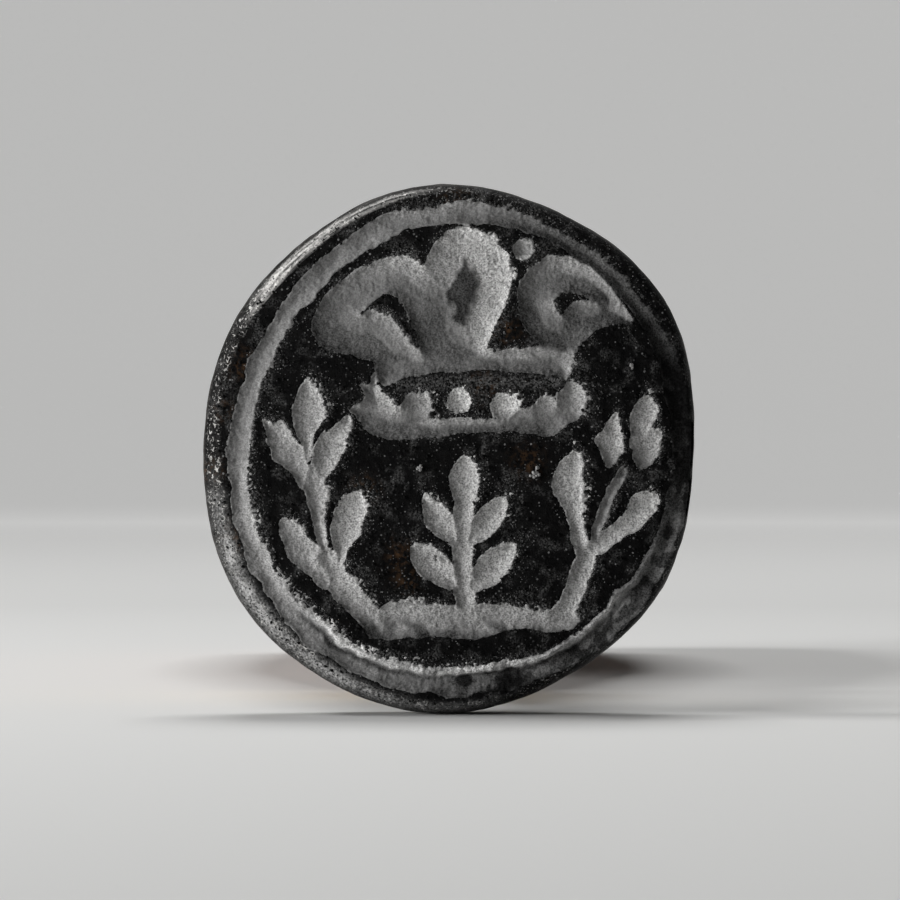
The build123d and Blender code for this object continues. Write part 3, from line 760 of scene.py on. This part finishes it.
# Leather washer: a punched ring, its edge bulged by the clamping
washer = {"outer": 6.1, "inner": 3.08, "flatTo": 5.9, "front": 15, "back": 16, "bulge": 0.12, "steps": 144}
t = np.linspace(0, 1, 9)
bulge = washer["outer"] + washer["bulge"] * np.sin(math.pi * t)
washerProfile = np.concatenate([
    [(washer["inner"], washer["front"]), (washer["flatTo"], washer["front"])],
    np.stack([bulge, washer["front"] + 0.02 + 0.96 * t], 1),
    [(washer["flatTo"], washer["back"]), (washer["inner"], washer["back"])],
])
leatherWasher = turnPiece("leatherWasher", washerProfile, washer["steps"])

# Stud: a right-hand thread, a ridge that moves along by one pitch in each turn
stud = {
    "radius": 3.0, "depth": 0.55, "pitch": 1.0, "front": 5.0, "back": 28.2, "chamfer": 0.6, "crestGap": 0.03,
    "steps": 96, "rows": 289,
}
stations = np.linspace(stud["front"], stud["back"], stud["rows"])[:, None]
angle = evenTurns(stud["steps"])
phase = (stations / stud["pitch"] + angle / (2 * math.pi)) % 1
flank = np.clip(np.abs(phase - 0.5) * 2.6 - 0.2, 0, 1)
fromEnd = np.minimum(stations - stud["front"], stud["back"] - stations)
crest = stud["radius"] - np.clip(stud["chamfer"] - fromEnd, 0, None)
radius = np.minimum(stud["radius"] - stud["crestGap"] - stud["depth"] * flank, crest)
studMesh = cappedRings(radius, stations, angle, stud["front"], stud["back"])
threadedStud = putMesh("threadedStud", *studMesh, None, 45)

# Ferrule: a drawn cup with a rolled front edge and a faint roll at its mouth
ferrule = {
    "outer": 6.9, "inner": 6.1, "hole": 3.2, "front": 16, "plate": 17.2, "back": 26, "steps": 160,
    "frontRoll": (0.9, 1), "mouthRoll": 0.16, "wallStations": [19, 22, 25],
}
outerRadius, inner, hole = (ferrule[key] for key in ("outer", "inner", "hole"))
front, plate, back = (ferrule[key] for key in ("front", "plate", "back"))
(rollIn, rollBack), mouth = ferrule["frontRoll"], ferrule["mouthRoll"]
t = np.linspace(0, math.pi / 2, 8)
ferruleProfile = np.concatenate([
    [(hole, front)],
    np.stack([outerRadius - rollIn + rollIn * np.sin(t), front + rollBack * (1 - np.cos(t))], 1),
    [(outerRadius, station) for station in ferrule["wallStations"]],
    np.stack([outerRadius - mouth * (1 - np.cos(t)), back - mouth + mouth * np.sin(t)], 1)[::2],
    [(inner, back), (inner, plate), (hole, plate)],
])
brassFerrule = turnPiece("brassFerrule", ferruleProfile, ferrule["steps"])
print("washer, stud and ferrule ready")

# Handle: a turned tenon, bead and cove, then a body planed to eight flats; rows are radius and station
handle = {
    "flats": 8, "edgeSoftness": 34, "cornerBlend": 5, "steps": 208,
    "tenon": [(4.3, 29.7), (4.3, 17.2), (5.9, 17.2), (6.1, 17.4), (6.1, 26.0), (7.55, 26.0)],
    "bodyCorners": [(8.0, 33.5), (11.98, 58.0), (11.98, 74.0), (10.4, 87.5), (7.2, 91.5)],
    "bodyRuns": [(33.5, 34.2, 5), (34.6, 87.0, 90), (87.2, 91.3, 18)],  # first and last station, and rings
    "shoulder": 0.35, "shoulderRings": 5,
    "end": [(7.1, 91.42), (6.6, 91.5), (4.5, 91.5), (2.2, 91.5)],
}


# Half-width of the planed body along the handle: the least of its straight runs, blended where they meet
def bodyHalfWidth(station):
    corners, blend = handle["bodyCorners"], handle["cornerBlend"]
    stretches = zip(corners, corners[1:])
    runs = [low + (station - start) * (high - low) / (end - start) for (low, start), (high, end) in stretches]
    return -np.log(np.exp(-np.stack(runs) * blend).sum(0)) / blend


# Eight flats round the axis: a power mean of each flat's distance along a direction, so the edges are broken
def flatsRadius(angle):
    reach = np.maximum(np.cos(angle[:, None] - evenTurns(handle["flats"])), 0.05)
    return (reach ** handle["edgeSoftness"]).sum(1) ** (-1 / handle["edgeSoftness"])


angle = evenTurns(handle["steps"])
t = np.linspace(0, math.pi, 15)
bead = np.stack([7.7 + 0.8 * np.sin(t), 27.6 - 1.6 * np.cos(t)], 1)
cove = np.stack([7.0 - 0.25 * np.sin(t), 31.35 - 2.05 * np.cos(t)], 1)
turned = np.concatenate([handle["tenon"], bead, cove])
bodyStations = np.concatenate([np.linspace(*run) for run in handle["bodyRuns"]])
body = np.stack([bodyHalfWidth(bodyStations), bodyStations], 1)
shoulder = np.sin(np.linspace(0, math.pi / 2, handle["shoulderRings"]))
body[: handle["shoulderRings"], 0] -= handle["shoulder"] * (1 - shoulder)
body = np.concatenate([body, handle["end"]])
eight = flatsRadius(angle)
radius = np.concatenate([turned[:, :1] * np.ones_like(angle), body[:, :1] * eight])
station = np.concatenate([turned, body])[:, 1:]
onBody = (np.arange(len(radius)) >= len(turned))[:, None]
tool = roughness(radius * np.cos(angle) + 0.35 * station, radius * np.sin(angle) - 0.2 * station, 4.0, 141)
radius = radius + onBody * np.minimum(0.05 * tool, 0)
ridge = ease(1.045, 1.075, eight) * ease(6.6, 7.4, radius) * onBody
ends = ease(1.2, 0.0, np.abs(station - 91.0)) * ease(6.3, 7.2, radius) * onBody
worn = np.append(np.clip(np.maximum(ridge, ends), 0, 1), [0, 0])
handleMesh = cappedRings(radius, station, angle, station[0, 0], station[-1, 0])
woodHandle = putMesh("woodHandle", *handleMesh, {"worn": worn}, 38)
print("handle ready:", len(woodHandle.data.polygons), "faces")


# Powder finish: packed matte grains, dimmer where the layer is thin and where the attribute carries painted
# shade, lighter where it carries painted highlight
def powderFinish():
    material, tree, shader, place = newMaterial("packedPowder")
    packingAndShading = readLayer(tree, "packingAndShading")
    coarse = mapTo(tree, packingAndShading, 0.5, 0.9, 0, 0.3)
    least = math2(tree, "SUBTRACT", mapTo(tree, packingAndShading, 0.05, 0.4, 0.1, 0.7), coarse)
    most = math2(tree, "ADD", mapTo(tree, packingAndShading, 0.05, 0.4, 2.1, 1.3), coarse)
    broad = mottled(tree, place, 1500, 0.88, 1.1)
    level = times(tree, times(tree, broad, mottled(tree, place, 13000, least, most)), packingAndShading)
    feed(tree, shader, {
        "Base Color": mixColour(tree, 1.0, (0.4, 0.397, 0.393), grey(tree, level), "MULTIPLY"),
        "Roughness": 0.95, "Specular IOR Level": 0.1,
    })
    grain = put(tree, "TexNoise", {"Vector": place, "Scale": 13000, "Detail": 4, "Roughness": 0.7})
    bumped(tree, shader, grain.outputs[0], 0.6, 0.00006)
    return material


ironTints = {
    "oxide": [(0.0008, 0.0008, 0.0009), (0.0042, 0.0041, 0.004)],
    "forged": [(0.009, 0.0088, 0.0087), (0.026, 0.0235, 0.021)],
    "scale": (0.03, 0.029, 0.028), "bright": (0.5, 0.49, 0.475),
    # what lies on the oxide: its layer, the mottling's scale and range, and its colour
    "coats": [("rust", 4200, -0.7, 1.15, (0.05, 0.027, 0.013)),
        ("film", 12000, -0.35, 1.25, (0.115, 0.114, 0.113)),
        # rim band tint: painted light on the lower-left bevel, partly powder
        ("rimChalkAndLight", 9000, 0.1, 1.5, (0.48, 0.477, 0.472))],
}


# Iron finish: near-black oxide with rust, a thin film and flecks of powder, a light rim band of powder and
# painted light, and a scaly bare rim
def ironFinish():
    material, tree, shader, place = newMaterial("blackIron")
    read = {key: readLayer(tree, key) for key in layers}
    faceOxide = mixColour(tree, mottled(tree, place, 2600), *ironTints["oxide"])
    forgeScale = mottled(tree, place, 750)
    colour = mixColour(tree, read["forged"], faceOxide, mixColour(tree, forgeScale, *ironTints["forged"]))
    for key, scale, low, high, tint in ironTints["coats"]:
        mask = times(tree, read[key], mottled(tree, place, scale, low, high), True)
        colour = mixColour(tree, mask, colour, tint)
    flake = mottled(tree, place, 8000, -0.25, 1.1)
    bareMask = times(tree, read["rimWear"], flake, True)
    colour = mixColour(tree, bareMask, colour, ironTints["scale"])
    rubbedWay = put(tree, "CombineXYZ", {0: times(tree, read["along"], 0.06), 1: read["across"]}).outputs[0]
    strokes = mottled(tree, rubbedWay, 8500, -0.1, 1.3)
    dulled = times(tree, strokes, mapTo(tree, flake, 0, 0.6, 0.55, 1))
    shine = times(tree, read["polish"], dulled, True)
    colour = mixColour(tree, shine, colour, ironTints["bright"])
    speck = useGroup(tree, grit, {"Coordinates": place, "Scale": 7500, "Amount": 0.42, "Size": 0.42})
    speckTone = mapTo(tree, math2(tree, "POWER", speck["Shade"], 4), 0, 1, 0.0015, 0.2)
    onFace = times(tree, speck["Mask"], mapTo(tree, read["forged"], 0, 1, 1, 0.1))
    colour = mixColour(tree, onFace, colour, grey(tree, speckTone))
    chips = put(tree, "TexNoise", {"Vector": place, "Scale": 5600, "Detail": 5, "Distortion": 1.2})
    spark = times(tree, read["rimWear"], mapTo(tree, chips.outputs[0], 0.575, 0.66, 0, 1.3), True)
    colour = mixColour(tree, spark, colour, ironTints["bright"])
    amount = times(tree, read["dust"], 0.75)
    fleck = useGroup(tree, grit, {"Coordinates": place, "Scale": 17000, "Amount": amount, "Size": 0.5})
    fleckTone = mapTo(tree, fleck["Shade"], 0, 1, 0.06, 0.34)
    bright = math2(tree, "MAXIMUM", bareMask, math2(tree, "MAXIMUM", shine, spark))
    feed(tree, shader, {
        "Base Color": mixColour(tree, fleck["Mask"], colour, grey(tree, fleckTone)),
        "Metallic": times(tree, bright, 0.9),
        "Roughness": mapTo(tree, bright, 0, 1, 0.6, 0.48),
        "Coat Weight": mapTo(tree, times(tree, read["forged"], forgeScale), 0, 1, 0, 0.3),
        "Coat Roughness": 0.42, "Specular IOR Level": 0.035,
    })
    pit = put(tree, "TexNoise", {"Vector": place, "Scale": 5200, "Detail": 6, "Roughness": 0.75})
    relief = mapTo(tree, read["polish"], 0, 0.8, 0.7, 0.25)
    bumped(tree, shader, pit.outputs[0], relief, 0.00012)
    return material


# Brass and steel: turned metal with fine lines and a little tarnish
def turnedMetal(name, bright, dull, roughLow, roughHigh):
    material, tree, shader, place = newMaterial(name)
    marks = useGroup(tree, turnedLines, {"Coordinates": place, "Scale": 1})["Value"]
    feed(tree, shader, {
        "Base Color": mixColour(tree, mottled(tree, place, 420), bright, dull),
        "Roughness": mapTo(tree, marks, 0.3, 0.7, roughLow, roughHigh), "Metallic": 1,
    })
    bumped(tree, shader, marks, 0.25, 0.00003)
    return material


# Leather: dark hide with pores
def leatherFinish():
    material, tree, shader, place = newMaterial("washerLeather")
    shade = mottled(tree, place, 1600)
    hide = mixColour(tree, shade, (0.075, 0.034, 0.016), (0.17, 0.085, 0.042))
    feed(tree, shader, {"Base Color": hide, "Roughness": 0.72})
    pores = put(tree, "TexVoronoi", {"Vector": place, "Scale": 4200})
    bumped(tree, shader, pores.outputs["Distance"], 0.5, 0.00008)
    return material


# Wood: growth rings cut lengthwise, short dark pores, a thin varnish that is rubbed pale on the edges
def woodFinish():
    material, tree, shader, place = newMaterial("turnedWood")
    stretched = put(tree, "Mapping", {"Vector": place, "Location": (0.009, 0, 0.004), "Scale": (1, 0.11, 1)})
    bend = put(tree, "TexNoise", {"Vector": stretched.outputs[0], "Scale": 120, "Detail": 3})
    shift = put(tree, "VectorMath", {0: bend.outputs["Color"], 1: [0.006] * 3}, operation="MULTIPLY")
    warped = put(tree, "VectorMath", {0: stretched.outputs[0], 1: shift.outputs[0]}, operation="ADD")
    ringInputs = {"Vector": warped.outputs[0], "Scale": 95.0, "Distortion": 1.2, "Detail": 2.0}
    growth = put(tree, "TexWave", ringInputs, wave_type="RINGS", rings_direction="Y")
    fibre = put(tree, "Mapping", {"Vector": place, "Scale": (1, 0.025, 1)}).outputs[0]
    streak = put(tree, "TexNoise", {"Vector": fibre, "Scale": 3800, "Detail": 4}).outputs[0]
    pale = mixColour(tree, growth.outputs["Fac"], (0.2, 0.085, 0.035), (0.105, 0.04, 0.017))
    streaked = mixColour(tree, mapTo(tree, streak, 0.35, 0.7, 0, 0.75), pale, (0.06, 0.022, 0.01))
    rubbed = times(tree, readLayer(tree, "worn"), mottled(tree, fibre, 330, 0.1, 0.9), True)
    feed(tree, shader, {
        "Base Color": mixColour(tree, rubbed, streaked, (0.27, 0.135, 0.06)),
        "Roughness": mapTo(tree, rubbed, 0, 1, 0.33, 0.6),
        "Coat Weight": 0.25, "Coat Roughness": 0.25,
    })
    bumped(tree, shader, streak, 0.22, 0.00012)
    return material


chalk = powderFinish()
brass = turnedMetal("ferruleBrass", (0.66, 0.45, 0.17), (0.5, 0.33, 0.125), 0.27, 0.38)
steel = turnedMetal("studSteel", (0.55, 0.55, 0.56), (0.4, 0.395, 0.39), 0.28, 0.42)
dress(sealDie, "die", "iron", ironFinish(), "seal_die")
for piece in powderPieces:
    dress(piece, "die", "chalk", chalk, "chalk_infill")
dress(chalkGrains, "die", "chalk", chalk)
dress(leatherWasher, "washer", "leather", leatherFinish(), "leather_washer")
dress(threadedStud, "handle", "steel", steel, "stud")
dress(brassFerrule, "handle", "brass", brass, "ferrule")
dress(woodHandle, "handle", "wood", woodFinish(), "handle")
coat(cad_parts["insert"], brass)
print("finishes assigned")

# Studio: a pale floor that curves up into a wall all round, three soft lamps and the camera
studio = {
    "floorDrop": -12.1, "flatRadii": [20, 120, 400, 800], "flatTo": 1100, "wallAt": 1900, "wallTop": 900,
    "centre": (0, 30, 0), "steps": 96, "worldLight": 0.06,
    # lamps: name, place, aim, width and power
    "lamps": [("keyLamp", (-0.43, -0.17, 0.03), (0, 0, 0), 0.2, 3.4),
        ("floorLamp", (0.0, 0.26, 0.55), (0, -0.03, -0.012), 0.3, 2.15),
        ("rimLamp", (-0.22, 0.03, 0.25), (0, 0.01, 0), 0.08, 0.4)],
    "cameraAt": (0.00008, -0.28, 0), "lens": 246, "sensor": 36, "nearest": 0.01,
}
t = np.linspace(0, math.pi / 2, 16)
reach = studio["wallAt"] - studio["flatTo"]
floorRadius = np.concatenate([studio["flatRadii"], studio["flatTo"] + reach * np.sin(t), [studio["wallAt"]]])
floorHeight = np.concatenate([np.zeros(4), reach * (1 - np.cos(t)), [studio["wallTop"]]])
floorHeight = floorHeight + studio["floorDrop"]
upright = aroundAxis(floorRadius[:, None], floorHeight[:, None], evenTurns(studio["steps"]))
points = np.concatenate([upright, [[0, studio["floorDrop"], 0]]])[:, [2, 0, 1]] + studio["centre"]
rows, steps = len(floorRadius), studio["steps"]
studioFloor = putMesh("studioFloor", points, [ringQuads(rows, steps), poleFan(0, steps, rows * steps, True)])

# Floor finish: plain pale, and its far part shows as pale to the camera without lighting the object
floorMaterial, floorTree, floorShader, floorPlace = newMaterial("paleFloor")
distance = put(floorTree, "VectorMath", {0: floorPlace}, operation="LENGTH").outputs["Value"]
farGlow = mapTo(floorTree, distance, 0.2, 0.75, 0, 0.43)
lightPath = put(floorTree, "LightPath").outputs
seen = math2(floorTree, "ADD", lightPath["Is Camera Ray"], lightPath["Is Glossy Ray"], True)
feed(floorTree, floorShader, {
    "Base Color": (0.68, 0.68, 0.67), "Roughness": 0.9, "Specular IOR Level": 0.1,
    "Emission Color": (1, 1, 0.99), "Emission Strength": times(floorTree, farGlow, seen),
})
coat(studioFloor, floorMaterial)

world = bpy.data.worlds.new("studioWorld")
scene.world = world
world.use_nodes = True
background = world.node_tree.nodes["Background"]
feed(world.node_tree, background, {"Color": (1, 1, 1), "Strength": studio["worldLight"]})


# Soft area lamp that faces a given point
def softLamp(name, place, aim, width, power):
    data = bpy.data.lights.new(name, "AREA")
    data.size = width
    data.energy = power
    lamp = bpy.data.objects.new(name, data)
    scene.collection.objects.link(lamp)
    direction = np.array(aim) - np.array(place)
    flat = math.hypot(direction[0], direction[1])
    lamp.location = place
    lamp.rotation_euler = (math.atan2(flat, -direction[2]), 0, math.atan2(-direction[0], direction[1]))


for lamp in studio["lamps"]:
    softLamp(*lamp)
camera = bpy.data.objects.new("photoCamera", bpy.data.cameras.new("photoCamera"))
scene.collection.objects.link(camera)
camera.data.lens = studio["lens"]
camera.data.sensor_width = studio["sensor"]
camera.data.clip_start = studio["nearest"]
camera.location = studio["cameraAt"]
camera.rotation_euler = (math.pi / 2, 0, 0)
scene.camera = camera
scene.view_settings.view_transform = "Standard"
print("studio ready")
